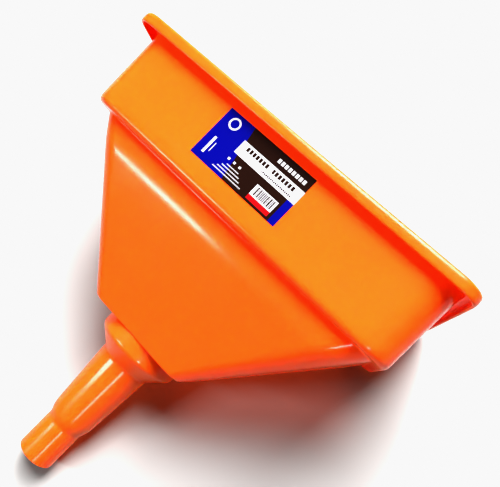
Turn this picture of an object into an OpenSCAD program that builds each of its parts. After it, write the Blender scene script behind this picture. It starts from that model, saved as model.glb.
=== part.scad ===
// Rectangular filling funnel with a stepped spout and a lift-out strainer.
// Frame: the spout's axis is Z, the spout's tip is at z = 0 and the mouth is at the top.
// X runs along the mouth's long side, and the labelled front faces -Y.

/* [Mouth] */
// Length of the mouth over the lip
mouth_l = 265; // [200:1:330]
// Width of the mouth over the lip
mouth_w = 165; // [140:1:220]
// How far the lip stands out from the collar
lip_out = 7.6; // [6:0.1:12]
// Height of the turned-down lip
lip_h = 7.4; // [5:0.1:12]
// Corner radius of the lip's outer edge
lip_r = 13; // [12:0.5:24]
// Height of the collar under the lip
collar_h = 54.4; // [44:0.1:90]
// Inward draft of the collar from its top to its bottom, per side
collar_draft = 1.8; // [0.5:0.1:4]
// Radius of the collar's upright corners
collar_r = 20; // [9:0.5:24]
// Radius along the collar's lower edge
collar_edge_r = 4.5; // [2.5:0.5:5]

/* [Hopper] */
// Height of the tapering hopper
hopper_h = 91; // [70:0.5:130]
// Ledge between collar and hopper at each end
ledge_end = 8.7; // [5:0.1:14]
// Ledge between collar and hopper at front and back
ledge_side = 7.8; // [5:0.1:12]
// Depth of the shoulder band at the hopper's top
shoulder_drop = 14.2; // [8:0.1:24]
// How far the shoulder band closes in at each end
shoulder_end = 11.2; // [9:0.1:16]
// How far the shoulder band closes in at front and back
shoulder_side = 2.2; // [1:0.1:4]
// Flat floor left beyond the strainer cup at each end
floor_end = 9.5; // [2:0.1:16]
// Flat floor left beyond the strainer cup at front and back
floor_side = 0.8; // [0.6:0.1:6]
// Corner radius at the hopper's top
hopper_top_r = 17; // [7:0.5:20]
// Corner radius at the hopper's bend, under the shoulder band
hopper_bend_r = 16; // [7:0.5:20]
// Corner radius of the hopper's floor
hopper_floor_r = 8; // [5:0.5:16]

/* [Cup and spout] */
// Outer diameter of the cup that holds the strainer
cup_d = 62; // [50:0.5:76]
// Height of the cup below the hopper's floor
cup_h = 11; // [9:0.1:18]
// Height of the cone below the cup
cone_h = 11; // [8:0.1:18]
// Outer diameter at the upper end of the wide tube
tube_top_d = 38.4; // [33:0.1:46]
// Outer diameter at the lower end of the wide tube
tube_end_d = 31.2; // [28:0.1:38]
// Length of the wide tube
tube_h = 51; // [30:0.5:80]
// Height of the sloping shoulder between the two tubes
step_h = 6; // [3:0.1:12]
// Outer diameter of the narrow spout tip
tip_d = 26.6; // [21:0.1:27]
// Length of the narrow spout tip
tip_h = 28; // [15:0.5:50]

/* [Walls] */
// Wall of the moulding
wall = 2.2; // [1.8:0.1:2.6]
// Wall of the lip's turned-down skirt
lip_wall = 2; // [1.4:0.1:2.6]

/* [Strainer] */
// Width of the ledge in the cup that the strainer sits on
seat_w = 2.8; // [2:0.1:4]
// Height of that ledge above the cone's inner end
seat_rise = 2.8; // [1:0.1:4]
// Height of the strainer's frame
frame_h = 7; // [6:0.1:9]
// Wall of the strainer's frame
frame_wall = 2.8; // [2.2:0.1:4]
// Width of the ledge in the frame that carries the gauze
gauze_seat_w = 2; // [1.5:0.1:3]
// Height of the spokes under the gauze
spoke_h = 3; // [2:0.1:3.6]
// Width of each spoke
spoke_w = 1.8; // [1.2:0.1:3]
// Number of spokes
spokes = 4; // [3:1:8]
// Turn of the first spoke from the X axis, in degrees
spoke_turn = 45; // [0:5:90]
// Diameter of the hub in the middle of the frame
hub_d = 10; // [8:0.5:14]
// Diameter of one gauze wire
wire_d = 0.5; // [0.4:0.05:0.7]
// Distance between neighbouring gauze wires
wire_pitch = 2.5; // [2:0.1:5]
// Height of the ring that holds the gauze down
ring_h = 2.4; // [1.6:0.1:3]
// Diameter of the lifting knob's head
knob_d = 9; // [8:0.5:12]
// Height of the knob's head
head_h = 4; // [3:0.5:6]
// Bevel round the knob's head
head_bevel = 1; // [0.5:0.1:1.2]
// Clear height of the stem between the knob's flange and its head
grip_h = 5.6; // [4:0.1:9]
// Thickness of the knob's flange at its edge
flange_h = 1.2; // [0.8:0.1:2]
// Diameter of the knob's stem in the hub
stem_d = 4; // [3:0.1:5]

/* [Label] */
// Length of the label
label_l = 69; // [40:0.5:90]
// Height of the label
label_h = 35.5; // [20:0.5:36]
// Thickness of the label film
label_t = 0.2; // [0.1:0.05:0.4]
// Gap between the lip's lower edge and the label
label_drop = 4; // [2:0.5:6]
// Offset of the label's middle from the middle of the front, towards -X
label_shift = 7.5; // [0:0.5:20]

/* [Clearances] */
// Gap all round the strainer in its cup
cup_clear = 0.4; // [0.3:0.05:1]
// Gap under the strainer at its seat
seat_clear = 0.3; // [0.3:0.05:0.6]
// Gap between layers that lie on each other
layer_gap = 0.02; // [0.01:0.01:0.05]
// Gap round the parts pushed into the frame
push_clear = 0.05; // [0.02:0.01:0.2]
// Gap from the stem's end to the level of the frame's underside
stem_clear = 0.2; // [0.1:0.05:0.6]

/* [Hidden] */

slab = 0.01;
cut = 1;
fine = 96;
medium = 48;
corner = 32;
coarse = 16;

// Levels from the tip upwards
step_z = tip_h;
tube_z = step_z + step_h;
cone_z = tube_z + tube_h;
cup_z = cone_z + cone_h;
floor_z = cup_z + cup_h;
bend_z = floor_z + hopper_h - shoulder_drop;
ledge_z = floor_z + hopper_h;
lip_z = ledge_z + collar_h;
rim_z = lip_z + lip_h;

// Half sizes [x, y] of the outer shape at each level
lip_half = [mouth_l, mouth_w] / 2;
collar_top = lip_half - [lip_out, lip_out];
collar_low = collar_top - [collar_draft, collar_draft];
draft_rate = collar_draft / collar_h;
collar_rim = collar_top + draft_rate * lip_h * [1, 1];
hopper_top = collar_low - [ledge_end, ledge_side];
hopper_bend = hopper_top - [shoulder_end, shoulder_side];
hopper_floor = cup_d / 2 * [1, 1] + [floor_end, floor_side];

// Slope of each hopper wall, as run over rise, and the wall measured level across it
slope_low = (hopper_bend - hopper_floor) / (bend_z - floor_z);
slope_top = [shoulder_end, shoulder_side] / shoulder_drop;
function across(s) = wall * [sqrt(1 + s.x * s.x), sqrt(1 + s.y * s.y)];
inner_floor = hopper_floor + slope_low * wall - across(slope_low);
inner_bend = hopper_bend - across(slope_low);
inner_top = hopper_top - across(slope_top);

// Radii of the round parts
cup_r = cup_d / 2;
cup_in_r = cup_r - wall;
seat_r = cup_in_r - seat_w;
tube_top_r = tube_top_d / 2;
tube_end_r = tube_end_d / 2;
tip_r = tip_d / 2;
bore_r = tip_r - lip_wall;
cone_rise = cone_h / (cup_r - tube_top_r);
cone_wall = wall * sqrt(1 + cone_rise * cone_rise);
function cone_inside(r) = cone_z + (r - tube_top_r) * cone_rise + cone_wall;
seat_z = cone_inside(seat_r) + seat_rise;

// The strainer's levels and radii
frame_z = seat_z + seat_clear;
frame_r = cup_in_r - cup_clear;
pocket_r = frame_r - frame_wall;
gauze_z = frame_z + spoke_h;
gauze_r = pocket_r - push_clear;
throat_r = pocket_r - gauze_seat_w;
warp_z = gauze_z + layer_gap + wire_d / 2;
weft_z = warp_z + wire_d + layer_gap;
clamp_z = weft_z + wire_d / 2 + layer_gap;
wires = floor((gauze_r - wire_d) / wire_pitch);
grip_z = clamp_z + 2 * flange_h;
head_z = grip_z + grip_h + head_bevel;
knob_z = head_z + head_h;

// A level slice with rounded corners, half sizes h and corner radius r, at height z
module slice(h, r, z, t = slab)
    translate([0, 0, z])
        linear_extrude(t)
            rounded(h, r);

module rounded(h, r) {
    square([2 * h.x, 2 * (h.y - r)], center = true);
    square([2 * (h.x - r), 2 * h.y], center = true);
    for (x = [-1, 1], y = [-1, 1])
        translate([x * (h.x - r), y * (h.y - r)])
            circle(r, $fn = corner);
}

// Collar from its rounded lower edge to the rim
module collar_outside()
    hull() {
        for (a = [0 : 30 : 90])
            slice(collar_low - collar_edge_r * (1 - sin(a)) * [1, 1],
                  collar_r - collar_edge_r * (1 - sin(a)),
                  ledge_z + collar_edge_r * (1 - cos(a)));
        slice(collar_rim, collar_r, rim_z - slab);
    }

module collar_inside()
    hull() {
        slice(collar_low - wall * [1, 1], collar_r - wall, ledge_z + wall);
        slice(collar_rim + (draft_rate * cut - wall) * [1, 1], collar_r - wall, rim_z + cut);
    }

module hopper_outside()
    hull() {
        slice(hopper_floor, hopper_floor_r, floor_z);
        slice(hopper_bend, hopper_bend_r, bend_z);
        slice(hopper_top, hopper_top_r, ledge_z + wall / 2);
    }

module hopper_inside()
    hull() {
        slice(inner_floor, hopper_floor_r - wall, floor_z + wall);
        slice(inner_bend, hopper_bend_r - wall, bend_z);
        slice(inner_top + slope_top * (wall + cut), hopper_top_r - wall, ledge_z + wall + cut);
    }

// Flat flange and turned-down skirt round the mouth
module lip()
    difference() {
        slice(lip_half, lip_r, lip_z, lip_h);
        slice(lip_half - lip_wall * [1, 1], lip_r - lip_wall, lip_z - cut, lip_h - wall + cut);
        slice(collar_top - wall / 2 * [1, 1], collar_r, lip_z - cut, lip_h + 2 * cut);
    }

module spout_outside()
    rotate_extrude($fn = fine)
        polygon([[0, 0], [tip_r, 0], [tip_r, step_z], [tube_end_r, tube_z],
                 [tube_top_r, cone_z], [cup_r, cup_z], [cup_r, floor_z + wall / 2],
                 [0, floor_z + wall / 2]]);

module spout_inside()
    rotate_extrude($fn = fine)
        polygon([[0, -cut], [bore_r, -cut], [bore_r, step_z],
                 [tube_end_r - wall, tube_z], [tube_top_r - wall, cone_inside(tube_top_r - wall)],
                 [seat_r, cone_inside(seat_r)], [seat_r, seat_z], [cup_in_r, seat_z],
                 [cup_in_r, floor_z + wall + cut], [0, floor_z + wall + cut]]);

module funnel_body()
    color("#ff8420")
        difference() {
            union() {
                collar_outside();
                hopper_outside();
                lip();
                spout_outside();
            }
            collar_inside();
            hopper_inside();
            spout_inside();
        }

// Film label on the sloping front of the collar
module product_label() {
    tilt = atan(draft_rate);
    color("#1c1f6e")
        translate([-label_shift, -collar_top.y, lip_z])
            rotate([tilt, 0, 0])
                translate([-label_l / 2, -layer_gap - label_t, -label_drop - label_h])
                    cube([label_l, label_t, label_h]);
}

// Ring with a gauze pocket, spokes and a hub
module filter_frame()
    color("#1c1c1c")
        difference() {
            union() {
                difference() {
                    translate([0, 0, frame_z])
                        cylinder(r = frame_r, h = frame_h, $fn = fine);
                    translate([0, 0, gauze_z])
                        cylinder(r = pocket_r, h = frame_h, $fn = fine);
                    translate([0, 0, frame_z - cut])
                        cylinder(r = throat_r, h = frame_h, $fn = fine);
                }
                for (i = [0 : spokes - 1])
                    rotate([0, 0, spoke_turn + i * 360 / spokes])
                        translate([0, -spoke_w / 2, frame_z])
                            cube([throat_r + gauze_seat_w / 2, spoke_w, spoke_h]);
                translate([0, 0, frame_z])
                    cylinder(d = hub_d, h = spoke_h, $fn = medium);
            }
            translate([0, 0, frame_z - cut])
                cylinder(d = stem_d + 2 * push_clear, h = frame_h, $fn = medium);
        }

// One layer of straight gauze wires at height z, left open round the knob's stem
module wire_layer(z)
    difference() {
        for (i = [-wires : wires]) {
            y = i * wire_pitch;
            half = sqrt(gauze_r * gauze_r - pow(abs(y) + wire_d / 2, 2));
            translate([-half, y, z])
                rotate([0, 90, 0])
                    cylinder(d = wire_d, h = 2 * half, $fn = coarse);
        }
        translate([0, 0, z - wire_d])
            cylinder(d = stem_d + 4 * push_clear, h = 2 * wire_d, $fn = medium);
    }

module gauze_warp_wires()
    color("#b8b3a8")
        wire_layer(warp_z);

module gauze_weft_wires()
    color("#b8b3a8")
        rotate([0, 0, 90])
            wire_layer(weft_z);

// Ring pushed into the frame's pocket on top of the gauze
module gauze_clamp_ring()
    color("#1c1c1c")
        translate([0, 0, clamp_z])
            difference() {
                cylinder(r = gauze_r, h = ring_h, $fn = fine);
                translate([0, 0, -cut])
                    cylinder(r = throat_r, h = ring_h + 2 * cut, $fn = fine);
            }

// Knob with a flange that holds the gauze's middle on the hub
module lifting_knob()
    color("#1c1c1c")
        rotate_extrude($fn = medium)
            polygon([[0, frame_z + stem_clear], [stem_d / 2, frame_z + stem_clear],
                     [stem_d / 2, clamp_z], [hub_d / 2, clamp_z], [hub_d / 2, clamp_z + flange_h],
                     [stem_d / 2, grip_z], [stem_d / 2, head_z - head_bevel],
                     [knob_d / 2 - head_bevel, head_z], [knob_d / 2, head_z + head_bevel],
                     [knob_d / 2, knob_z - head_bevel], [knob_d / 2 - head_bevel, knob_z],
                     [0, knob_z]]);

funnel_body();
product_label();
filter_frame();
gauze_warp_wires();
gauze_weft_wires();
gauze_clamp_ring();
lifting_knob();
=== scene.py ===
"""Rectangular filling funnel with a lift-out gauze strainer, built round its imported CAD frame."""

import math

import bmesh
import bpy
from mathutils import Matrix, Vector


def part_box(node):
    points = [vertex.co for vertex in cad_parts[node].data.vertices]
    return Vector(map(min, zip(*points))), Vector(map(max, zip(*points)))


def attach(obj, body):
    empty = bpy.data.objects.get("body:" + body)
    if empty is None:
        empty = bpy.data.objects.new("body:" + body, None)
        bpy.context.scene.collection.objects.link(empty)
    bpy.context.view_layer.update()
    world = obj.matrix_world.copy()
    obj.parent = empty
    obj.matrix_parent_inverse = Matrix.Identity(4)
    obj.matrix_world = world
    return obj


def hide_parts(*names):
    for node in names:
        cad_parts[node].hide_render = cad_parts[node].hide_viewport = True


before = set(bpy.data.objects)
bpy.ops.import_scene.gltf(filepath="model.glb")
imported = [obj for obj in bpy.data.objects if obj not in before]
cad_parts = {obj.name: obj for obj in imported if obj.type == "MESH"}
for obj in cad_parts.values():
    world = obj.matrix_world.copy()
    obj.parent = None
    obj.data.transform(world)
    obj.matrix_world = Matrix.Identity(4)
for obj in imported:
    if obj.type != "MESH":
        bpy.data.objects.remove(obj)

bl_info = {
    "name": "Filling funnel",
    "version": (1, 0, 0),
    "blender": (4, 5, 0),
    "location": "3D View > Sidebar > Funnel",
    "description": "Builds a rectangular filling funnel, its label and its strainer",
    "category": "Add Mesh",
}

MM = 0.001
# Brightest value that the picture keeps, which is that of pale paper and not of light itself
WHITE = 0.66
COMBINED = 3  # the tone curve that acts on all three colours
LABEL_LIFT = 0.03 * MM  # gap between the collar and the label
LABEL_FILM = 0.14 * MM
LABEL_COLUMNS, LABEL_ROWS = 24, 12
FIT = 0.05 * MM  # clearance between the strainer's pieces
SINK = 0.1 * MM  # how far the spokes stay inside the ring's upper and lower faces
SPOKE_INTO_RING, SPOKE_INTO_HUB = 0.6 * MM, 0.4 * MM
HUB_EDGE = 0.3 * MM
# The knob: the hair-fine bore left along its axis, the flare of its foot, how far its widest
# level is below the top, and its eased edges, which also dimple both ends of that bore
KNOB_BORE, KNOB_FLARE, KNOB_WAIST, KNOB_EDGE = 0.02 * MM, 0.4 * MM, 2.6 * MM, 0.6 * MM
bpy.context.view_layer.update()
BODY_LOW, BODY_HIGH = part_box("funnel_body")
LABEL_LOW, LABEL_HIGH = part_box("product_label")
FRAME_LOW, FRAME_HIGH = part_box("filter_frame")
CLAMP_LOW, CLAMP_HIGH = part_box("gauze_clamp_ring")
KNOB_LOW, KNOB_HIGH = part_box("lifting_knob")
WARP_LOW, WARP_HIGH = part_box("gauze_warp_wires")
WEFT_LOW, WEFT_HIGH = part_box("gauze_weft_wires")


def size(name, default_mm, description):
    """A length property, given in millimetres and kept in metres."""
    return bpy.props.FloatProperty(name=name, description=description, default=default_mm * MM,
                                   min=0.0, unit="LENGTH", precision=4)


def paint(name, default, description):
    """A colour property, kept as an sRGB hex value."""
    return bpy.props.StringProperty(name=name, description=description, default=default)


class FunnelSizes(bpy.types.PropertyGroup):
    """Sizes of the funnel's moulding; its length, width and height come from the frame."""

    wall: size("Wall", 2.2, "Wall of the moulding")
    lip_out: size("Lip overhang", 7.6, "How far the lip stands out from the collar")
    lip_h: size("Lip height", 7.4, "Height of the turned-down lip")
    lip_wall: size("Lip wall", 2.0, "Wall of the lip's skirt")
    lip_r: size("Lip corner", 13.0, "Corner radius of the lip's outer edge")
    collar_h: size("Collar height", 54.4, "Height of the collar under the lip")
    collar_draft: size("Collar draft", 1.8, "Inward draft of the collar, per side")
    collar_r: size("Collar corner", 20.0, "Radius of the collar's upright corners")
    hopper_h: size("Hopper height", 91.0, "Height of the tapering hopper")
    hopper_top_r: size("Hopper top corner", 17.0, "Corner radius at the hopper's top")
    hopper_bend_r: size("Hopper bend corner", 16.0, "Corner radius at the hopper's bend")
    ledge_end: size("End ledge", 8.7, "Ledge between collar and hopper at each end")
    ledge_side: size("Side ledge", 7.8, "Ledge between collar and hopper at front and back")
    shoulder_drop: size("Shoulder depth", 14.2, "Depth of the band above the hopper's bend")
    shoulder_end: size("Shoulder end", 11.2, "How far that band closes in at each end")
    shoulder_side: size("Shoulder side", 2.2, "How far that band closes in at front and back")
    floor_end: size("End floor", 9.5, "Floor beyond the cup at each end")
    floor_side: size("Side floor", 0.8, "Floor beyond the cup at front and back")
    floor_r: size("Floor corner", 8.0, "Corner radius of the hopper's floor")
    cup_d: size("Cup diameter", 62.0, "Outer diameter of the strainer's cup")
    cup_h: size("Cup height", 11.0, "Height of the cup")
    cone_h: size("Cone height", 11.0, "Height of the cone under the cup")
    tube_top_d: size("Tube top", 38.4, "Outer diameter at the wide tube's upper end")
    tube_end_d: size("Tube end", 31.2, "Outer diameter at the wide tube's lower end")
    step_h: size("Step", 6.0, "Height of the shoulder between the tubes")
    tip_d: size("Tip diameter", 26.6, "Outer diameter of the spout's tip")
    tip_h: size("Tip length", 28.0, "Length of the spout's tip")
    seat_w: size("Seat width", 2.8, "Ledge in the cup that the strainer sits on")
    seat_rise: size("Seat rise", 2.8, "Height of that ledge above the cone's inner end")


class StrainerSizes(bpy.types.PropertyGroup):
    """Sizes of the strainer; its diameters and levels come from the frame."""

    spokes: bpy.props.IntProperty(name="Spokes", description="Number of spokes", default=4, min=3)
    spoke_w: size("Spoke width", 1.8, "Width of one spoke")
    spoke_h: size("Spoke height", 3.0, "Height of the spokes and of the gauze's seat")
    hub_d: size("Hub", 10.0, "Diameter of the hub")
    stem_d: size("Stem", 4.0, "Diameter of the knob's stem")
    head_d: size("Knob head", 9.0, "Diameter of the knob's head")
    head_h: size("Knob head height", 4.0, "Height of the knob's head")
    head_bevel: size("Knob bevel", 1.0, "Bevel of the knob's head")
    flange_h: size("Knob flange", 1.2, "Height of the knob's flange over the gauze")
    gauze_seat_w: size("Gauze seat", 2.0, "Ledge in the frame that carries the gauze")
    edge_r: size("Edge", 0.5, "Rounding of the moulded edges")
    wire_d: size("Wire", 0.34, "Diameter of one gauze wire")
    wire_pitch: size("Pitch", 1.3, "Distance between neighbouring gauze wires")


class FunnelColours(bpy.types.PropertyGroup):
    """Colours of every finish, as sRGB hex values."""

    plastic: paint("Plastic", "#FF661E", "Orange of the moulding")
    plastic_deep: paint("Deep plastic", "#FD601B", "Orange where the wall is a little thicker")
    black: paint("Strainer plastic", "#141415", "Black of the strainer's plastic parts")
    wire: paint("Wire", "#B5B1A8", "Stainless gauze wire")
    print_blue: paint("Label blue", "#080A72", "Blue fields of the label")
    print_dark: paint("Label dark", "#23130E", "Near-black field of the label")
    print_white: paint("Label white", "#BDBBC0", "White of the label's band and marks")
    print_red: paint("Label red", "#A01218", "Red strip under the stripe code")
    floor: paint("Floor", "#9F9E9D", "Pale table")


class StageSizes(bpy.types.PropertyGroup):
    """Camera, floor and lights."""

    camera_at: bpy.props.FloatVectorProperty(name="Camera", description="Place of the camera",
                                             default=(0.1060, -0.3542, 0.1785), unit="LENGTH")
    camera_to: bpy.props.FloatVectorProperty(name="Aim", description="Point the camera looks at",
                                             default=(0.0031, 0.0, 0.2024), unit="LENGTH")
    camera_roll: bpy.props.FloatProperty(name="Roll", description="Turn about the line of sight",
                                         default=math.radians(44.77), subtype="ANGLE")
    lens: bpy.props.FloatProperty(name="Lens", description="Focal length on a 36 mm frame, in mm",
                                  default=38.1)
    floor_span: size("Floor span", 3000.0, "Width of the floor")
    sky_power: bpy.props.FloatProperty(name="Overhead", description="Power of the broad overhead "
                                       "light, in watts", default=88)
    back_power: bpy.props.FloatProperty(name="Back", description="Power of the broad light from "
                                        "the mouth's side", default=62)
    window_power: bpy.props.FloatProperty(name="Window", description="Power of the light that "
                                          "draws the shoulder's highlight", default=5)
    lamp_power: bpy.props.FloatProperty(name="Lamp", description="Power of the light that draws "
                                        "the streak along the tubes", default=2.6)
    rear_power: bpy.props.FloatProperty(name="Rear", description="Power of the light on the "
                                        "funnel's far side", default=70)
    glow_power: bpy.props.FloatProperty(name="Glow", description="Power of the light that has "
                                        "come through the plastic", default=0.009)
    room: bpy.props.FloatProperty(name="Room", description="Strength of the room's light",
                                  default=0.05)


# ---------------------------------------------------------------- node and mesh helpers


def linear(hex_value):
    """An sRGB hex value as a linear colour."""
    parts = [int(hex_value[i:i + 2], 16) / 255 for i in (1, 3, 5)]
    return [c / 12.92 if c <= 0.04045 else ((c + 0.055) / 1.055) ** 2.4 for c in parts] + [1.0]


def add(tree, kind, inputs=None, **settings):
    """Adds one node with its settings; each input gets a value or a link from another socket."""
    node = tree.nodes.new(kind)
    for key, value in settings.items():
        setattr(node, key, value)
    for key, value in (inputs or {}).items():
        socket = node.inputs[key]
        if isinstance(value, bpy.types.NodeSocket):
            tree.links.new(value, socket)
        else:
            socket.default_value = value
    return node


def new_material(name):
    """An empty node material with its output; returns the material, its tree and the output."""
    material = bpy.data.materials.new(name)
    material.use_nodes = True
    material.node_tree.nodes.clear()
    return material, material.node_tree, add(material.node_tree, "ShaderNodeOutputMaterial")


def geometry_tree(name, inputs):
    """A Geometry Nodes tree with named inputs; returns the tree, its inputs and its output."""
    tree = bpy.data.node_groups.new(name, "GeometryNodeTree")
    for label, kind in inputs:
        tree.interface.new_socket(label, in_out="INPUT", socket_type=kind)
    tree.interface.new_socket("Geometry", in_out="OUTPUT", socket_type="NodeSocketGeometry")
    return tree, add(tree, "NodeGroupInput").outputs, add(tree, "NodeGroupOutput")


def grown(name, tree, values):
    """The plain mesh object that a Geometry Nodes tree makes with these input values."""
    seed = bpy.data.objects.new(name + "_seed", bpy.data.meshes.new(name + "_seed"))
    bpy.context.collection.objects.link(seed)
    modifier = seed.modifiers.new("Grow", "NODES")
    modifier.node_group = tree
    for item in tree.interface.items_tree:
        if item.in_out == "INPUT" and item.name in values:
            modifier[item.identifier] = values[item.name]
    graph = bpy.context.evaluated_depsgraph_get()
    mesh = bpy.data.meshes.new_from_object(seed.evaluated_get(graph))
    mesh.name = name
    bpy.data.objects.remove(seed)
    piece = bpy.data.objects.new(name, mesh)
    bpy.context.collection.objects.link(piece)
    return piece


def mesh_piece(name, bm, material, smooth=True):
    """A finished object made of a bmesh, with its faces turned outwards."""
    bmesh.ops.recalc_face_normals(bm, faces=bm.faces)
    mesh = bpy.data.meshes.new(name)
    bm.to_mesh(mesh)
    bm.free()
    mesh.materials.append(material)
    mesh.shade_smooth() if smooth else mesh.shade_flat()
    piece = bpy.data.objects.new(name, mesh)
    bpy.context.collection.objects.link(piece)
    return piece


def sizes():
    return bpy.context.scene.funnel_sizes


def strainer_sizes():
    return bpy.context.scene.strainer_sizes


def colours():
    return bpy.context.scene.funnel_colours


def stage_sizes():
    return bpy.context.scene.funnel_stage


# ---------------------------------------------------------------- materials


def orange_polyethylene():
    """Injection-moulded polyethylene: glossy, deep orange, with light glowing through its wall."""
    c = colours()
    material, tree, out = new_material("orange_moulded_polyethylene")
    place = add(tree, "ShaderNodeTexCoord").outputs["Object"]
    cloud = add(tree, "ShaderNodeTexNoise", {"Vector": place, "Scale": 14.0, "Detail": 2.0})
    tint = add(tree, "ShaderNodeMix", {"Factor": cloud.outputs["Fac"], "A": linear(c.plastic),
                                       "B": linear(c.plastic_deep)}, data_type="RGBA")
    # Flow marks from moulding, 25 mm long, make the gloss uneven
    flow = add(tree, "ShaderNodeTexNoise", {"Vector": place, "Scale": 40.0, "Detail": 3.0})
    gloss = add(tree, "ShaderNodeMapRange", {"Value": flow.outputs["Fac"], "From Min": 0.3,
                                             "From Max": 0.7, "To Min": 0.15, "To Max": 0.22})
    # Slight unevenness of the mould's polish, 4 mm across
    peel = add(tree, "ShaderNodeTexNoise", {"Vector": place, "Scale": 250.0, "Detail": 1.0})
    bump = add(tree, "ShaderNodeBump", {"Height": peel.outputs["Fac"], "Strength": 0.06,
                                        "Distance": 0.0004})
    shader = add(tree, "ShaderNodeBsdfPrincipled", {
        "Base Color": tint.outputs["Result"], "Roughness": gloss.outputs["Result"],
        "Normal": bump.outputs["Normal"], "IOR": 1.5, "Specular IOR Level": 0.22,
        "Subsurface Weight": 0.6, "Subsurface Radius": (1.0, 0.10, 0.02),
        "Subsurface Scale": 5 * MM})
    tree.links.new(shader.outputs["BSDF"], out.inputs["Surface"])
    return material


def black_polypropylene():
    """Moulded polypropylene: black with a soft sheen and a fine matt grain."""
    material, tree, out = new_material("black_moulded_polypropylene")
    place = add(tree, "ShaderNodeTexCoord").outputs["Object"]
    # Spark-eroded mould grain, 0.5 mm across
    grain = add(tree, "ShaderNodeTexNoise", {"Vector": place, "Scale": 2000.0, "Detail": 2.0})
    bump = add(tree, "ShaderNodeBump", {"Height": grain.outputs["Fac"], "Strength": 0.15,
                                        "Distance": 0.0001})
    rough = add(tree, "ShaderNodeMapRange", {"Value": grain.outputs["Fac"], "To Min": 0.36,
                                             "To Max": 0.5})
    shader = add(tree, "ShaderNodeBsdfPrincipled", {
        "Base Color": linear(colours().black), "Roughness": rough.outputs["Result"],
        "Normal": bump.outputs["Normal"], "IOR": 1.49})
    tree.links.new(shader.outputs["BSDF"], out.inputs["Surface"])
    return material


def stainless_wire():
    """Drawn stainless steel: bright, with fine draw marks that break up its shine."""
    material, tree, out = new_material("drawn_stainless_wire")
    place = add(tree, "ShaderNodeTexCoord").outputs["Object"]
    marks = add(tree, "ShaderNodeTexNoise", {"Vector": place, "Scale": 900.0, "Detail": 2.0})
    rough = add(tree, "ShaderNodeMapRange", {"Value": marks.outputs["Fac"], "To Min": 0.22,
                                             "To Max": 0.42})
    shader = add(tree, "ShaderNodeBsdfPrincipled", {
        "Base Color": linear(colours().wire), "Metallic": 1.0,
        "Roughness": rough.outputs["Result"]})
    tree.links.new(shader.outputs["BSDF"], out.inputs["Surface"])
    return material


def inside(tree, along, value_range, up, up_range):
    """1 inside a rectangle of the label's own map, 0 outside it."""
    mask = None
    for source, low, high in ((along, *value_range), (up, *up_range)):
        over = add(tree, "ShaderNodeMath", {0: source, 1: low}, operation="GREATER_THAN")
        under = add(tree, "ShaderNodeMath", {0: source, 1: high}, operation="LESS_THAN")
        both = add(tree, "ShaderNodeMath", {0: over.outputs[0], 1: under.outputs[0]},
                   operation="MULTIPLY")
        mask = both.outputs[0] if mask is None else add(
            tree, "ShaderNodeMath", {0: mask, 1: both.outputs[0]}, operation="MULTIPLY").outputs[0]
    return mask


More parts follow.
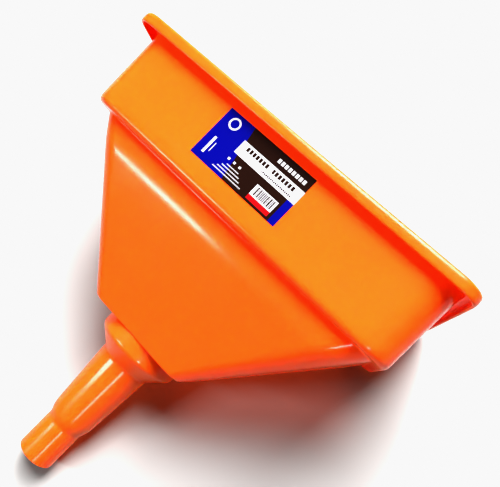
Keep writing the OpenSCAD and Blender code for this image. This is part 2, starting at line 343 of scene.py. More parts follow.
def printed_label_film():
    """Printed film: flat ink fields under a glossy clear coat, with bars in place of words."""
    c = colours()
    material, tree, out = new_material("printed_label_film")
    uv = add(tree, "ShaderNodeUVMap", uv_map="label")
    split = add(tree, "ShaderNodeSeparateXYZ", {"Vector": uv.outputs["UV"]})
    u, v = split.outputs["X"], split.outputs["Y"]
    ink = add(tree, "ShaderNodeRGB").outputs[0]
    ink.default_value = linear(c.print_dark)
    # All places below are shares of the label's width and height.
    # The blue field's edge slants, wider at the label's foot
    slant = add(tree, "ShaderNodeMath", {0: v, 1: -0.1, 2: 0.39}, operation="MULTIPLY_ADD")
    left = add(tree, "ShaderNodeMath", {0: u, 1: slant.outputs[0]}, operation="LESS_THAN")
    fields = [(left.outputs[0], c.print_blue)]

    def block(hex_value, u_range, v_range):
        fields.append((inside(tree, u, u_range, v, v_range), hex_value))

    def blocks(hex_value, u_range, v_range, pitch, duty=0.72):
        """A row of equal blocks, in place of a line of print."""
        step = add(tree, "ShaderNodeMath", {0: u, 1: 1 / pitch}, operation="MULTIPLY")
        part = add(tree, "ShaderNodeMath", {0: step.outputs[0]}, operation="FRACT")
        solid = add(tree, "ShaderNodeMath", {0: part.outputs[0], 1: duty}, operation="LESS_THAN")
        row = add(tree, "ShaderNodeMath", {
            0: solid.outputs[0], 1: inside(tree, u, u_range, v, v_range)}, operation="MULTIPLY")
        fields.append((row.outputs[0], hex_value))

    block(c.print_white, (0.30, 1.0), (0.47, 0.73))
    block(c.print_blue, (0.93, 1.0), (0.0, 0.47))
    block(c.print_white, (0.655, 0.90), (0.13, 0.335))
    block(c.print_red, (0.655, 0.90), (0.045, 0.13))
    # Rows of blocks on the white band, under it and above it
    blocks(c.print_dark, (0.37, 0.63), (0.61, 0.69), 0.037)
    blocks(c.print_dark, (0.67, 0.93), (0.61, 0.69), 0.037)
    blocks(c.print_dark, (0.60, 0.93), (0.515, 0.545), 0.018)
    blocks(c.print_white, (0.63, 0.95), (0.81, 0.885), 0.04, 0.7)
    # Bars on the blue field, along the label's short side, and fine rows by its foot
    block(c.print_white, (0.075, 0.10), (0.12, 0.46))
    block(c.print_white, (0.125, 0.132), (0.20, 0.38))
    for row, (start, end) in enumerate(((0.33, 0.47), (0.30, 0.50), (0.27, 0.53), (0.24, 0.57))):
        blocks(c.print_white, (start, end), (0.235 - 0.055 * row, 0.255 - 0.055 * row), 0.012, 0.6)
    for start in (0.30, 0.365, 0.43):
        block(c.print_white, (start, start + 0.022), (0.315, 0.355))
    # A ring in place of the round mark
    off_u = add(tree, "ShaderNodeMath", {0: u, 1: 0.13}, operation="SUBTRACT")
    off_u = add(tree, "ShaderNodeMath", {0: off_u.outputs[0], 1: 1.94}, operation="MULTIPLY")
    off_v = add(tree, "ShaderNodeMath", {0: v, 1: 0.82}, operation="SUBTRACT")
    spot = add(tree, "ShaderNodeCombineXYZ", {"X": off_u.outputs[0], "Y": off_v.outputs[0]})
    far = add(tree, "ShaderNodeVectorMath", {0: spot.outputs[0]}, operation="LENGTH")
    ring = add(tree, "ShaderNodeMath", {0: far.outputs["Value"], 1: 0.095, 2: 0.016},
               operation="COMPARE")
    fields.append((ring.outputs[0], c.print_white))
    # Stripe code: uneven dark stripes from two repeats that drift apart
    stripes = None
    for pitch, duty in ((95.0, 0.42), (61.0, 0.35)):
        step = add(tree, "ShaderNodeMath", {0: u, 1: pitch}, operation="MULTIPLY")
        part = add(tree, "ShaderNodeMath", {0: step.outputs[0]}, operation="FRACT")
        dark = add(tree, "ShaderNodeMath", {0: part.outputs[0], 1: duty}, operation="LESS_THAN")
        stripes = dark.outputs[0] if stripes is None else add(
            tree, "ShaderNodeMath", {0: stripes, 1: dark.outputs[0]}, operation="MAXIMUM").outputs[0]
    code = add(tree, "ShaderNodeMath", {
        0: stripes, 1: inside(tree, u, (0.675, 0.885), v, (0.155, 0.315))}, operation="MULTIPLY")
    fields.append((code.outputs[0], c.print_dark))
    for mask, hex_value in fields:
        ink = add(tree, "ShaderNodeMix", {"Factor": mask, "A": ink, "B": linear(hex_value)},
                  data_type="RGBA").outputs["Result"]
    place = add(tree, "ShaderNodeTexCoord").outputs["Object"]
    ripple = add(tree, "ShaderNodeTexNoise", {"Vector": place, "Scale": 90.0, "Detail": 1.0})
    bump = add(tree, "ShaderNodeBump", {"Height": ripple.outputs["Fac"], "Strength": 0.2,
                                        "Distance": 0.0003})
    shader = add(tree, "ShaderNodeBsdfPrincipled", {
        "Base Color": ink, "Roughness": 0.25, "Normal": bump.outputs["Normal"], "IOR": 1.5,
        "Specular IOR Level": 0.12})
    tree.links.new(shader.outputs["BSDF"], out.inputs["Surface"])
    return material


def pale_table():
    """Painted board: matt and pale, seen from above only, so that it hides nothing from behind."""
    material, tree, out = new_material("pale_matt_table")
    side = add(tree, "ShaderNodeNewGeometry").outputs["Backfacing"]
    board = add(tree, "ShaderNodeBsdfDiffuse", {"Color": linear(colours().floor)})
    clear = add(tree, "ShaderNodeBsdfTransparent")
    mix = add(tree, "ShaderNodeMixShader", {0: side, 1: board.outputs[0], 2: clear.outputs[0]})
    tree.links.new(mix.outputs[0], out.inputs["Surface"])
    return material


# ---------------------------------------------------------------- the moulding


STRAIGHT_STEPS = 8
CORNER_STEPS = 10
QUARTER = 2 * STRAIGHT_STEPS + CORNER_STEPS
BLEND_STEPS = 6
# A blend takes at most this share of each edge, and its outer rows stand this much further out
BLEND_SHARE, HOLD_SHARE, HOLD_REACH = 0.42, 0.47, 1.6


def rectangle_ring(half, corner, z):
    """A level ring with rounded corners, counter-clockwise from the middle of +X."""
    quarter = []
    x_run, y_run = half[0] - corner, half[1] - corner
    for i in range(STRAIGHT_STEPS):
        quarter.append((half[0], y_run * math.sin(i / STRAIGHT_STEPS * math.pi / 2)))
    for i in range(CORNER_STEPS):
        a = i / CORNER_STEPS * math.pi / 2
        quarter.append((x_run + corner * math.cos(a), y_run + corner * math.sin(a)))
    for i in range(STRAIGHT_STEPS):
        quarter.append((x_run * math.cos(i / STRAIGHT_STEPS * math.pi / 2), half[1]))
    ring = [Vector((x, y, z)) for x, y in quarter]
    ring += [Vector((-x, y, z)) for x, y in [(0.0, half[1])] + quarter[:0:-1]]
    return ring + [Vector((-p.x, -p.y, z)) for p in ring]


def round_ring(radius, z):
    """A level circle with as many points as a rectangle's ring."""
    return [Vector((radius * math.cos(a), radius * math.sin(a), z))
            for a in (i / (4 * QUARTER) * 2 * math.pi for i in range(4 * QUARTER))]


def blended(rings, blends):
    """The closed run of rings with each one rounded off over its blend length."""
    count, run = len(rings), []
    for i in range(count):
        before, here, after, blend = rings[i - 1], rings[i], rings[(i + 1) % count], blends[i]
        rows = [[] for _ in range(BLEND_STEPS + 3)]
        for p, q, r in zip(before, here, after):
            back, on = p - q, r - q
            reach_back = min(blend, BLEND_SHARE * back.length)
            reach_on = min(blend, BLEND_SHARE * on.length)
            a, b = q + back.normalized() * reach_back, q + on.normalized() * reach_on
            hold_back = min(HOLD_REACH * reach_back, HOLD_SHARE * back.length)
            hold_on = min(HOLD_REACH * reach_on, HOLD_SHARE * on.length)
            rows[0].append(q + back.normalized() * hold_back)
            for k in range(BLEND_STEPS + 1):
                t = k / BLEND_STEPS
                rows[k + 1].append(a * (1 - t) ** 2 + q * 2 * t * (1 - t) + b * t * t)
            rows[-1].append(q + on.normalized() * hold_on)
        run += rows
    return run


def moulding_run(s):
    """The moulding's rings and blend lengths, from the tip's bore up outside and down inside.

    Each station below is a ring and its blend length in mm.
    """
    half = [BODY_HIGH.x, BODY_HIGH.y]
    rim = BODY_HIGH.z
    lip_z = rim - s.lip_h
    ledge_z = lip_z - s.collar_h
    bend_z = ledge_z - s.shoulder_drop
    floor_z = ledge_z - s.hopper_h
    cup_z = floor_z - s.cup_h
    cone_z = cup_z - s.cone_h
    tube_z = s.tip_h + s.step_h
    rate = s.collar_draft / s.collar_h

    def shift(pair, dx, dy=None):
        return [pair[0] + dx, pair[1] + (dx if dy is None else dy)]

    collar_top = shift(half, -s.lip_out)
    collar_low = shift(collar_top, -s.collar_draft)
    collar_rim = shift(collar_top, rate * s.lip_h)
    top = shift(collar_low, -s.ledge_end, -s.ledge_side)
    bend = shift(top, -s.shoulder_end, -s.shoulder_side)
    floor = [s.cup_d / 2 + s.floor_end, s.cup_d / 2 + s.floor_side]
    slope = [(bend[i] - floor[i]) / (bend_z - floor_z) for i in (0, 1)]
    slope_top = [s.shoulder_end / s.shoulder_drop, s.shoulder_side / s.shoulder_drop]
    in_floor = [floor[i] + slope[i] * s.wall - s.wall * math.hypot(1, slope[i]) for i in (0, 1)]
    in_bend = [bend[i] - s.wall * math.hypot(1, slope[i]) for i in (0, 1)]
    in_top = [top[i] + slope_top[i] * s.wall - s.wall * math.hypot(1, slope_top[i])
              for i in (0, 1)]
    tip_r, end_r, wide_r, cup_r = s.tip_d / 2, s.tube_end_d / 2, s.tube_top_d / 2, s.cup_d / 2
    bore_r, cup_in = tip_r - s.lip_wall, cup_r - s.wall
    seat_r = cup_in - s.seat_w
    rise = s.cone_h / (cup_r - wide_r)
    flange = rim - s.wall

    def cone_inside(r):
        return cone_z + (r - wide_r) * rise + s.wall * math.hypot(1, rise)

    seat_z = cone_inside(seat_r) + s.seat_rise
    stations = [
        (round_ring(bore_r, 0), 0.4), (round_ring(tip_r, 0), 0.6),
        (round_ring(tip_r, s.tip_h), 1.2), (round_ring(end_r, tube_z), 4.5),
        (round_ring(wide_r, cone_z), 1.6), (round_ring(cup_r, cup_z), 2.2),
        (round_ring(cup_r, floor_z), 0.3),
        (rectangle_ring(floor, s.floor_r, floor_z), 1.6),
        (rectangle_ring(bend, s.hopper_bend_r, bend_z), 6.0),
        (rectangle_ring(top, s.hopper_top_r, ledge_z), 1.4),
        (rectangle_ring(collar_low, s.collar_r, ledge_z), 5.0),
        (rectangle_ring(shift(collar_rim, -rate * s.wall), s.collar_r, flange), 3.6),
        (rectangle_ring(shift(half, -s.lip_wall), s.lip_r - s.lip_wall, flange), 1.4),
        (rectangle_ring(shift(half, -s.lip_wall), s.lip_r - s.lip_wall, lip_z), 0.7),
        (rectangle_ring(half, s.lip_r, lip_z), 2.8),
        (rectangle_ring(half, s.lip_r, rim), 2.8),
        (rectangle_ring(shift(collar_rim, -s.wall), s.collar_r - s.wall, rim), 1.6),
        (rectangle_ring(shift(collar_low, -s.wall), s.collar_r - s.wall, ledge_z + s.wall), 2.0),
        (rectangle_ring(in_top, s.hopper_top_r - s.wall, ledge_z + s.wall), 1.6),
        (rectangle_ring(in_bend, s.hopper_bend_r - s.wall, bend_z), 8.0),
        (rectangle_ring(in_floor, s.floor_r - s.wall, floor_z + s.wall), 1.4),
        (round_ring(cup_in, floor_z + s.wall), 0.5),
        (round_ring(cup_in, seat_z), 0.2), (round_ring(seat_r, seat_z), 0.4),
        (round_ring(seat_r, cone_inside(seat_r)), 0.4),
        (round_ring(wide_r - s.wall, cone_inside(wide_r - s.wall)), 1.6),
        (round_ring(end_r - s.wall, tube_z), 4.0), (round_ring(bore_r, s.tip_h), 1.2),
    ]
    return [ring for ring, _ in stations], [blend * MM for _, blend in stations]


def ring_shell(run):
    """A closed tube of quads through a closed run of rings."""
    bm = bmesh.new()
    rows = [[bm.verts.new(p) for p in ring] for ring in run]
    for i, row in enumerate(rows):
        above = rows[(i + 1) % len(rows)]
        for k in range(len(row)):
            n = (k + 1) % len(row)
            bm.faces.new((row[k], row[n], above[n], above[k]))
    return bm


class FUNNEL_OT_moulding(bpy.types.Operator):
    """Makes the funnel's one-piece moulding, from the rounded lip to the stepped spout"""

    bl_idname = "funnel.moulding"
    bl_label = "Moulding"

    def execute(self, context):
        bm = ring_shell(blended(*moulding_run(sizes())))
        piece = mesh_piece("funnel_moulding", bm, orange_polyethylene())
        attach(piece, "funnel")
        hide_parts("funnel_body")
        return {"FINISHED"}


# ---------------------------------------------------------------- the label


class FUNNEL_OT_label(bpy.types.Operator):
    """Makes the printed film label that lies on the collar's sloping front"""

    bl_idname = "funnel.label"
    bl_label = "Label"

    def execute(self, context):
        s = sizes()
        columns, rows = LABEL_COLUMNS, LABEL_ROWS
        rate = s.collar_draft / s.collar_h
        front = -(BODY_HIGH.y - s.lip_out)
        lip_z = BODY_HIGH.z - s.lip_h
        bm = bmesh.new()
        layer = bm.loops.layers.uv.new("label")
        sides, where = [], {}
        for depth in (LABEL_LIFT, LABEL_LIFT + LABEL_FILM):
            grid = []
            for j in range(rows + 1):
                v = j / rows
                z = LABEL_LOW.z + v * (LABEL_HIGH.z - LABEL_LOW.z)
                line = []
                for i in range(columns + 1):
                    u = i / columns
                    x = LABEL_LOW.x + u * (LABEL_HIGH.x - LABEL_LOW.x)
                    vert = bm.verts.new((x, front + rate * (lip_z - z) - depth, z))
                    where[vert] = (u, v)
                    line.append(vert)
                grid.append(line)
            sides.append(grid)
        under, over = sides
        for grid in sides:
            for j in range(rows):
                for i in range(columns):
                    bm.faces.new((grid[j][i], grid[j][i + 1], grid[j + 1][i + 1], grid[j + 1][i]))
        for j in range(rows):
            for i in (0, columns):
                bm.faces.new((under[j][i], under[j + 1][i], over[j + 1][i], over[j][i]))
        for i in range(columns):
            for j in (0, rows):
                bm.faces.new((under[j][i], under[j][i + 1], over[j][i + 1], over[j][i]))
        for face in bm.faces:
            for loop in face.loops:
                loop[layer].uv = where[loop.vert]
        piece = mesh_piece("printed_label", bm, printed_label_film(), smooth=False)
        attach(piece, "funnel")
        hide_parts("product_label")
        return {"FINISHED"}


# ---------------------------------------------------------------- the strainer


TURNED_STEPS = 48  # facets round the small turned parts


def lathe(profile, steps=96):
    """A closed body of revolution about Z through the profile's [radius, z] points."""
    bm = bmesh.new()
    rows = []
    for i in range(steps):
        a = i / steps * 2 * math.pi
        rows.append([bm.verts.new((r * math.cos(a), r * math.sin(a), z)) for r, z in profile])
    for i in range(steps):
        row, other = rows[i], rows[(i + 1) % steps]
        for k in range(len(profile)):
            n = (k + 1) % len(profile)
            bm.faces.new((row[k], other[k], other[n], row[n]))
    bmesh.ops.remove_doubles(bm, verts=bm.verts, dist=1e-7)
    return bm


def eased(points, radius, steps=4):
    """A closed [radius, z] outline with each corner rounded off."""
    outline = []
    for i, here in enumerate(points):
        p, q, r = Vector(points[i - 1]), Vector(here), Vector(points[(i + 1) % len(points)])
        back, on = p - q, r - q
        reach = min(radius, 0.45 * back.length, 0.45 * on.length)
        a, b = q + back.normalized() * reach, q + on.normalized() * reach
        for k in range(steps + 1):
            t = k / steps
            outline.append(a * (1 - t) ** 2 + q * 2 * t * (1 - t) + b * t * t)
    return [(p.x, p.y) for p in outline]


class FUNNEL_OT_strainer_plastics(bpy.types.Operator):
    """Makes the strainer's frame with its spokes, its clamp ring and its lifting knob"""

    bl_idname = "funnel.strainer_plastics"
    bl_label = "Strainer plastics"

    def execute(self, context):
        t, black = strainer_sizes(), black_polypropylene()
        self.finish(self.frame_ring(t, black), "filter_frame")
        self.finish(self.clamp_ring(t, black), "gauze_clamp_ring")
        self.finish(self.knob(t, black), "lifting_knob")
        return {"FINISHED"}

    @staticmethod
    def finish(piece, node):
        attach(piece, "strainer")
        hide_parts(node)

    @staticmethod
    def frame_ring(t, black):
        """The ring comes from its section, and the spokes are instances round the hub."""
        tree, given, out = geometry_tree("strainer_frame", [
            ("Spokes", "NodeSocketInt"), ("Spoke Width", "NodeSocketFloat"),
            ("Spoke Height", "NodeSocketFloat"), ("Spoke Reach", "NodeSocketFloat"),
            ("Hub Radius", "NodeSocketFloat"), ("Base", "NodeSocketFloat"),
            ("Ring", "NodeSocketObject"), ("Material", "NodeSocketMaterial")])
        ring = add(tree, "GeometryNodeObjectInfo", {"Object": given["Ring"]})
        length = add(tree, "ShaderNodeMath", {0: given["Spoke Reach"], 1: given["Hub Radius"]},
                     operation="SUBTRACT")
        middle = add(tree, "ShaderNodeMath", {0: given["Spoke Reach"], 1: given["Hub Radius"]})
        middle = add(tree, "ShaderNodeMath", {0: middle.outputs[0], 1: 0.5}, operation="MULTIPLY")
        size_in = add(tree, "ShaderNodeCombineXYZ", {
            "X": length.outputs[0], "Y": given["Spoke Width"], "Z": given["Spoke Height"]})
        bar = add(tree, "GeometryNodeMeshCube", {"Size": size_in.outputs[0]})
        half_up = add(tree, "ShaderNodeMath", {0: given["Spoke Height"], 1: 0.5, 2: given["Base"]},
                      operation="MULTIPLY_ADD")
        points = add(tree, "GeometryNodeMeshCircle", {
            "Vertices": given["Spokes"], "Radius": middle.outputs[0]})
        spot = add(tree, "GeometryNodeInputPosition")
        turned = add(tree, "FunctionNodeAlignRotationToVector", {
            "Vector": spot.outputs[0]}, axis="X", pivot_axis="Z")
        placed = add(tree, "GeometryNodeInstanceOnPoints", {
            "Points": points.outputs["Mesh"], "Instance": bar.outputs["Mesh"],
            "Rotation": turned.outputs[0]})
        lift = add(tree, "ShaderNodeCombineXYZ", {"Z": half_up.outputs[0]})
        raised = add(tree, "GeometryNodeTransform", {
            "Geometry": placed.outputs[0], "Translation": lift.outputs[0],
            "Rotation": (0.0, 0.0, math.pi / 4)})
        joined = add(tree, "GeometryNodeJoinGeometry")
        for part in (ring.outputs["Geometry"], raised.outputs[0]):
            tree.links.new(part, joined.inputs[0])
        real = add(tree, "GeometryNodeRealizeInstances", {"Geometry": joined.outputs[0]})
        coat = add(tree, "GeometryNodeSetMaterial", {
            "Geometry": real.outputs[0], "Material": given["Material"]})
        tree.links.new(coat.outputs[0], out.inputs[0])

        low, high = FRAME_LOW.z, FRAME_HIGH.z
        pocket = CLAMP_HIGH.x + FIT
        throat, outer, seat = pocket - t.gauze_seat_w, FRAME_HIGH.x, low + t.spoke_h
        hub, bore = t.hub_d / 2, t.stem_d / 2 + FIT
        section = eased([(throat, low), (outer, low), (outer, high), (pocket, high),
                         (pocket, seat), (throat, seat)], t.edge_r)
        bm = lathe(section)
        hub_bm = lathe(eased([(bore, low), (hub, low), (hub, seat), (bore, seat)], HUB_EDGE),
                       TURNED_STEPS)
        hub_mesh = bpy.data.meshes.new("hub")
        hub_bm.to_mesh(hub_mesh)
        hub_bm.free()
        bm.from_mesh(hub_mesh)
        seed = mesh_piece("strainer_ring_seed", bm, black)
        piece = grown("strainer_frame", tree, {
            "Spokes": t.spokes, "Spoke Width": t.spoke_w, "Spoke Height": t.spoke_h - 2 * SINK,
            "Spoke Reach": throat + SPOKE_INTO_RING, "Hub Radius": hub - SPOKE_INTO_HUB,
            "Base": low + SINK, "Ring": seed, "Material": black})
        bpy.data.objects.remove(seed)
        bpy.data.meshes.remove(hub_mesh)
        return piece

    @staticmethod
    def clamp_ring(t, black):
        low, high, outer = CLAMP_LOW.z, CLAMP_HIGH.z, CLAMP_HIGH.x
        inner = outer + FIT - t.gauze_seat_w
        return mesh_piece("gauze_ring", lathe(eased(
            [(inner, low), (outer, low), (outer, high), (inner, high)], t.edge_r)), black)

    @staticmethod
    def knob(t, black):
        low, high, flange = KNOB_LOW.z, KNOB_HIGH.z, CLAMP_LOW.z
        stem, hub, head = t.stem_d / 2, t.hub_d / 2, t.head_d / 2
        bevel, rim, foot = t.head_bevel, t.flange_h, 2 * t.flange_h
        outline = eased([
            (KNOB_BORE, low), (stem, low), (stem, flange), (hub, flange),
            (hub, flange + rim), (stem + KNOB_FLARE, flange + foot), (stem, high - t.head_h - bevel),
            (head - bevel, high - t.head_h), (head, high - KNOB_WAIST),
            (head - bevel, high), (KNOB_BORE, high)], KNOB_EDGE)
        bm = lathe([(max(r, 0.0), z) for r, z in outline], TURNED_STEPS)
        return mesh_piece("lifting_knob_turned", bm, black)


WIRE_SIDES, STEPS_PER_PITCH = 6, 4
WEAVE_REACH = 0.52  # how far a wire bends to each side, as a share of its thickness
GAUZE_HOLE_INSET = 1 * MM  # how far the gauze reaches under the knob's flange


def weave_tree():
    """One layer of woven wires: rows of a grid bent over and under their neighbours."""
    tree, given, out = geometry_tree("woven_wires", [
        ("Radius", "NodeSocketFloat"), ("Hole", "NodeSocketFloat"), ("Pitch", "NodeSocketFloat"),
        ("Wire", "NodeSocketFloat"), ("Level", "NodeSocketFloat"), ("Rows", "NodeSocketInt"),
        ("Steps", "NodeSocketInt"), ("Side", "NodeSocketFloat"),
        ("Turn", "NodeSocketRotation"), ("Material", "NodeSocketMaterial")])
    spare = add(tree, "ShaderNodeMath", {0: given["Rows"], 1: -1.0})
    span = add(tree, "ShaderNodeMath", {0: spare.outputs[0], 1: given["Pitch"]},
               operation="MULTIPLY")
    grid = add(tree, "GeometryNodeMeshGrid", {
        "Size X": span.outputs[0], "Size Y": span.outputs[0],
        "Vertices X": given["Steps"], "Vertices Y": given["Rows"]})
    ends = add(tree, "GeometryNodeInputMeshEdgeVertices")
    run = add(tree, "ShaderNodeVectorMath", {
        0: ends.outputs["Position 1"], 1: ends.outputs["Position 2"]}, operation="SUBTRACT")
    run = add(tree, "ShaderNodeSeparateXYZ", {0: run.outputs[0]})
    across = add(tree, "ShaderNodeMath", {0: run.outputs["Y"]}, operation="ABSOLUTE")
    across = add(tree, "FunctionNodeCompare", {0: across.outputs[0], 1: 1e-6},
                 operation="GREATER_THAN")
    rows = add(tree, "GeometryNodeDeleteGeometry", {
        "Geometry": grid.outputs["Mesh"], "Selection": across.outputs[0]},
        domain="EDGE", mode="EDGE_FACE")
    spot = add(tree, "GeometryNodeInputPosition").outputs[0]
    far = add(tree, "ShaderNodeVectorMath", {0: spot}, operation="LENGTH")
    beyond = add(tree, "FunctionNodeCompare", {0: far.outputs["Value"], 1: given["Radius"]},
                 operation="GREATER_THAN")
    within = add(tree, "FunctionNodeCompare", {0: far.outputs["Value"], 1: given["Hole"]},
                 operation="LESS_THAN")
    off = add(tree, "FunctionNodeBooleanMath", {0: beyond.outputs[0], 1: within.outputs[0]},
              operation="OR")
    disc = add(tree, "GeometryNodeDeleteGeometry", {
        "Geometry": rows.outputs[0], "Selection": off.outputs[0]}, domain="POINT")
    axes = add(tree, "ShaderNodeSeparateXYZ", {0: spot})
    # A wire passes over one neighbour and under the next, and the next wire does the opposite
    waves = []
    for axis in ("X", "Y"):
        steps = add(tree, "ShaderNodeMath", {0: axes.outputs[axis], 1: given["Pitch"]},
                    operation="DIVIDE")
        turn = add(tree, "ShaderNodeMath", {0: steps.outputs[0], 1: math.pi},
                   operation="MULTIPLY")
        waves.append(add(tree, "ShaderNodeMath", {0: turn.outputs[0]}, operation="COSINE"))
    wave = add(tree, "ShaderNodeMath", {0: waves[0].outputs[0], 1: waves[1].outputs[0]},
               operation="MULTIPLY")
    reach = add(tree, "ShaderNodeMath", {0: given["Wire"], 1: given["Side"]},
                operation="MULTIPLY")
    rise = add(tree, "ShaderNodeMath", {0: wave.outputs[0], 1: reach.outputs[0]},
               operation="MULTIPLY")
    shift = add(tree, "ShaderNodeCombineXYZ", {"Z": rise.outputs[0]})
    bent = add(tree, "GeometryNodeSetPosition", {
        "Geometry": disc.outputs[0], "Offset": shift.outputs[0]})
    lines = add(tree, "GeometryNodeMeshToCurve", {"Mesh": bent.outputs[0]})
    half = add(tree, "ShaderNodeMath", {0: given["Wire"], 1: 0.5}, operation="MULTIPLY")
    section = add(tree, "GeometryNodeCurvePrimitiveCircle", {
        "Resolution": WIRE_SIDES, "Radius": half.outputs[0]}, mode="RADIUS")
    wires = add(tree, "GeometryNodeCurveToMesh", {
        "Curve": lines.outputs[0], "Profile Curve": section.outputs[0], "Fill Caps": True})
    level = add(tree, "ShaderNodeCombineXYZ", {"Z": given["Level"]})
    placed = add(tree, "GeometryNodeTransform", {
        "Geometry": wires.outputs[0], "Translation": level.outputs[0],
        "Rotation": given["Turn"]})
    real = add(tree, "GeometryNodeRealizeInstances", {"Geometry": placed.outputs[0]})
    coat = add(tree, "GeometryNodeSetMaterial", {
        "Geometry": real.outputs[0], "Material": given["Material"]})
    tree.links.new(coat.outputs[0], out.inputs[0])
    return tree


class FUNNEL_OT_gauze(bpy.types.Operator):
    """Makes the woven gauze: warp wires along X and weft wires along Y"""

    bl_idname = "funnel.gauze"
    bl_label = "Gauze"

    def execute(self, context):
        t, tree, steel = strainer_sizes(), weave_tree(), stainless_wire()
        radius = WARP_HIGH.x - t.wire_d
        rows = 2 * int(radius / t.wire_pitch) + 1
        level = (WARP_LOW.z + WEFT_HIGH.z) / 2
        for name, node, side, turn in (
                ("gauze_warp", "gauze_warp_wires", WEAVE_REACH, 0.0),
                ("gauze_weft", "gauze_weft_wires", -WEAVE_REACH, math.pi / 2)):
            piece = grown(name, tree, {
                "Radius": radius, "Hole": t.hub_d / 2 - GAUZE_HOLE_INSET, "Pitch": t.wire_pitch,
                "Wire": t.wire_d, "Level": level, "Rows": rows,
                "Steps": STEPS_PER_PITCH * (rows - 1) + 1, "Side": side,
                "Turn": (0.0, 0.0, turn), "Material": steel})
            piece.data.shade_smooth()
            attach(piece, "strainer")
            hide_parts(node)
        return {"FINISHED"}


# ---------------------------------------------------------------- the stage


FILM_WIDTH = 36.0  # of the camera, in mm
NEAREST = 0.01  # what the camera still sees, in metres
TABLE_GAP = 0.3 * MM
# Each light: its direction from the middle, distance, width, height, and its power's name
MIDDLE = Vector((0, 0, 0.15))
LIGHTS = (
    ("overhead_light", Vector((-0.10, -0.77, 0.63)), 2.2, 1.0, 1.0, "sky_power"),
    ("back_light", Vector((-0.20, -0.50, 0.84)), 2.2, 1.3, 1.0, "back_power"),
    ("window_light", Vector((-0.47, -0.765, -0.43)), 1.1, 0.34, 0.09, "window_power"),
    ("lamp_light", Vector((0.55, -0.71, -0.45)), 1.1, 0.08, 0.30, "lamp_power"),
    ("rear_light", Vector((0.25, 0.90, 0.35)), 2.4, 1.4, 1.2, "rear_power"))
STREAK_LIGHT = "lamp_light"  # it draws its streak and adds nothing else
# Daylight that comes through the translucent hopper and warms its shadow on the table
GLOW_AT, GLOW_SIZE = Vector((0.083, 0.032, 0.132)), (0.13, 0.035)
GLOW_COLOUR, GLOW_TURN = (1.0, 0.10, 0.02), math.radians(45)


def linked(obj):
    """Puts an object in the scene."""
    bpy.context.scene.collection.objects.link(obj)
    return obj


def area_light(name, wide, high, power):
    """A rectangular light, not yet aimed."""
    lamp = bpy.data.lights.new(name, "AREA")
    lamp.shape, lamp.size, lamp.size_y, lamp.energy = "RECTANGLE", wide, high, power
    return linked(bpy.data.objects.new(name, lamp))


def aimed(obj, place, target, roll=0.0):
    """Puts an object at a place, with its -Z towards the target."""
    obj.location = place
    look = (Vector(target) - Vector(place)).to_track_quat("-Z", "Y")
    obj.rotation_euler = (look.to_matrix() @ Matrix.Rotation(roll, 3, "Z")).to_euler()


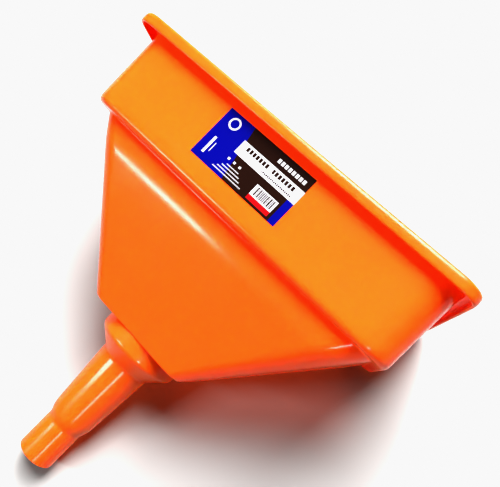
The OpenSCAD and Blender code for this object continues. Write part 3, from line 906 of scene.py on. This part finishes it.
class FUNNEL_OT_stage(bpy.types.Operator):
    """Sets the camera, the pale table that the funnel lies on, and soft studio light"""

    bl_idname = "funnel.stage"
    bl_label = "Stage"

    def execute(self, context):
        scene, g, s = context.scene, stage_sizes(), sizes()
        camera = linked(bpy.data.objects.new("camera", bpy.data.cameras.new("camera")))
        camera.data.lens, camera.data.sensor_width = g.lens, FILM_WIDTH
        camera.data.clip_start = NEAREST
        aimed(camera, g.camera_at, g.camera_to, g.camera_roll)
        scene.camera = camera
        scene.view_settings.view_transform = "Standard"
        scene.view_settings.look = "High Contrast"
        scene.view_settings.use_curve_mapping = True
        tone = scene.view_settings.curve_mapping
        tone.extend = "HORIZONTAL"
        points = tone.curves[COMBINED].points
        points.new(WHITE, WHITE)
        points[-1].location = (1.0, WHITE)
        for point in points:
            point.handle_type = "VECTOR"
        tone.update()

        # The table touches the spout's tip and the collar's lower back edge
        ledge_z = BODY_HIGH.z - s.lip_h - s.collar_h
        back = BODY_HIGH.y - s.lip_out - s.collar_draft
        lean = math.atan2(back - s.tip_d / 2, ledge_z)
        normal = Vector((0, -math.cos(lean), math.sin(lean)))
        along = Vector((0, math.sin(lean), math.cos(lean)))
        rest = Vector((0, back, ledge_z)) - normal * TABLE_GAP
        bm = bmesh.new()
        reach = g.floor_span / 2
        corners = [rest + Vector((x, 0, 0)) * reach + along * z * reach
                   for x, z in ((-1, -1), (1, -1), (1, 1), (-1, 1))]
        face = bm.faces.new([bm.verts.new(p) for p in corners])
        face.normal_update()
        if face.normal.dot(normal) < 0:
            face.normal_flip()
        mesh = bpy.data.meshes.new("table")
        bm.to_mesh(mesh)
        bm.free()
        mesh.materials.append(pale_table())
        table = linked(bpy.data.objects.new("table", mesh))
        table.visible_shadow = False  # the rear light stands behind the table

        for name, toward, far, wide, high, power in LIGHTS:
            light = area_light(name, wide, high, getattr(g, power))
            light.visible_diffuse = name != STREAK_LIGHT
            aimed(light, MIDDLE + toward.normalized() * far, MIDDLE)
        glow = area_light("glow_light", *GLOW_SIZE, g.glow_power)
        glow.data.color = GLOW_COLOUR
        glow.visible_camera = glow.visible_glossy = False
        aimed(glow, GLOW_AT, GLOW_AT - normal, GLOW_TURN)

        world = bpy.data.worlds.new("room")
        world.use_nodes = True
        background = world.node_tree.nodes["Background"].inputs
        background["Color"].default_value = (1, 1, 1, 1)
        background["Strength"].default_value = g.room
        scene.world = world
        return {"FINISHED"}


# ---------------------------------------------------------------- panel and registration


class FUNNEL_PT_panel(bpy.types.Panel):
    """Lists the funnel's pieces and its settings"""

    bl_label = "Filling funnel"
    bl_idname = "FUNNEL_PT_panel"
    bl_space_type = "VIEW_3D"
    bl_region_type = "UI"
    bl_category = "Funnel"

    def draw(self, context):
        for step in STEPS:
            self.layout.operator(step.bl_idname)
        for group in GROUPS:
            settings = getattr(context.scene, group)
            for name in settings.bl_rna.properties.keys():
                if name not in ("name", "rna_type"):
                    self.layout.prop(settings, name)


GROUPS = {"funnel_sizes": FunnelSizes, "strainer_sizes": StrainerSizes,
          "funnel_colours": FunnelColours, "funnel_stage": StageSizes}
STEPS = (FUNNEL_OT_stage, FUNNEL_OT_moulding, FUNNEL_OT_label, FUNNEL_OT_strainer_plastics,
         FUNNEL_OT_gauze)


def register():
    for group in GROUPS.values():
        bpy.utils.register_class(group)
    for name, group in GROUPS.items():
        setattr(bpy.types.Scene, name, bpy.props.PointerProperty(type=group))
    for step in (*STEPS, FUNNEL_PT_panel):
        bpy.utils.register_class(step)


def unregister():
    for step in (FUNNEL_PT_panel, *reversed(STEPS)):
        bpy.utils.unregister_class(step)
    for name, group in GROUPS.items():
        delattr(bpy.types.Scene, name)
        bpy.utils.unregister_class(group)


def main():
    register()
    bpy.ops.funnel.stage()
    bpy.ops.funnel.moulding()
    bpy.ops.funnel.label()
    bpy.ops.funnel.strainer_plastics()
    bpy.ops.funnel.gauze()


if __name__ == "__main__":
    main()
